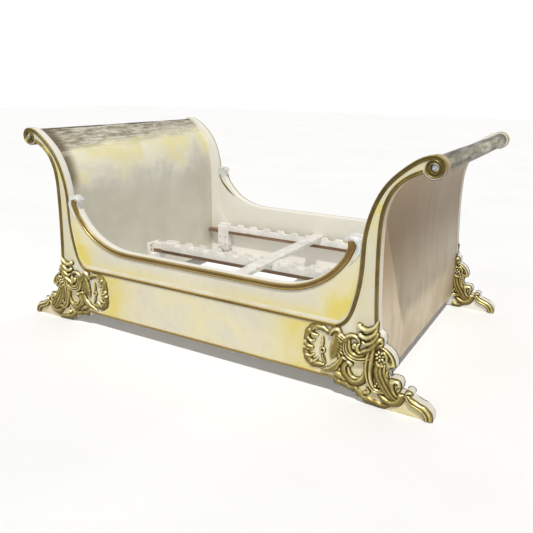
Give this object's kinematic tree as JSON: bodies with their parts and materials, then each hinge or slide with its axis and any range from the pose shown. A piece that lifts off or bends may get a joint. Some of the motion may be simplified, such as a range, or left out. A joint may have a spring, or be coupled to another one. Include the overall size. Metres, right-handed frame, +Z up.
{
  "type": "sleigh bed",
  "caption": "Gilded, carved sleigh bed frame with outward-rolled ends, scrolled side rails, bracket feet and a drop-in slat support for a double mattress.",
  "frame": {"origin": "on the floor, under the middle of the bed", "axes": "+X along the length towards the foot end, +Y across towards the far side, +Z up"},
  "size_m": [2.663, 1.68, 1.207],
  "materials": {
    "cream_paint": "distressed cream paint over wood, satin, yellowed in places",
    "aged_gilt": "antique gold leaf on carved wood, dark in the hollows",
    "silver_leaf": "worn silver leaf with brown scratches",
    "pearl_paint": "pearly grey paint",
    "white_primer": "matt white paint, scuffed",
    "steel": "dull zinc",
    "bare_wood": "bare brown wood, dusty"
  },
  "bodies": {
    "bed": {"acanthus_foot_far": "aged_gilt", "acanthus_foot_near": "aged_gilt", "acanthus_head_far": "aged_gilt", "acanthus_head_near": "aged_gilt", "beam_combs": "white_primer", "beam_shoe_foot": "white_primer", "beam_shoe_head": "white_primer", "bottom_line_far": "aged_gilt", "bottom_line_near": "aged_gilt", "cartouche_foot_far": "aged_gilt", "cartouche_foot_near": "aged_gilt", "cartouche_head_far": "aged_gilt", "cartouche_head_near": "aged_gilt", "centre_beam": "bare_wood", "cleat_screws": "steel", "corner_cleats": "white_primer", "foot_foot_far": "cream_paint", "foot_foot_near": "cream_paint", "foot_head_far": "cream_paint", "foot_head_near": "cream_paint", "footboard_panel": "cream_paint", "footboard_roll": "silver_leaf", "headboard_panel": "cream_paint", "headboard_roll": "silver_leaf", "inner_bead_foot_far": "aged_gilt", "inner_bead_foot_near": "aged_gilt", "inner_bead_head_far": "aged_gilt", "inner_bead_head_near": "aged_gilt", "leaf_spray_foot_far": "aged_gilt", "leaf_spray_foot_near": "aged_gilt", "leaf_spray_head_far": "aged_gilt", "leaf_spray_head_near": "aged_gilt", "ledger_comb_far": "white_primer", "ledger_comb_near": "white_primer", "ledger_far": "bare_wood", "ledger_near": "bare_wood", "mid_band_far": "aged_gilt", "mid_band_near": "aged_gilt", "outer_bead_foot_far": "aged_gilt", "outer_bead_foot_near": "aged_gilt", "outer_bead_head_far": "aged_gilt", "outer_bead_head_near": "aged_gilt", "post_foot_far": "cream_paint", "post_foot_near": "cream_paint", "post_head_far": "cream_paint", "post_head_near": "cream_paint", "rail_dowels": "bare_wood", "rail_scrolls_far": "silver_leaf", "rail_scrolls_near": "silver_leaf", "scroll_mount_foot_far": "aged_gilt", "scroll_mount_foot_near": "aged_gilt", "scroll_mount_head_far": "aged_gilt", "scroll_mount_head_near": "aged_gilt", "shoe_screws": "steel", "side_rail_far": "cream_paint", "side_rail_near": "cream_paint", "top_band_far": "aged_gilt", "top_band_near": "aged_gilt", "volute_eyes": "pearl_paint"},
    "crossbar": {"crossbar": "white_primer"}
  },
  "joints": [
    {"name": "crossbar_lift", "type": "slide", "parent": "bed", "child": "crossbar", "axis": [0, 0, 1], "range_m": [0, 0.25]}
  ]
}
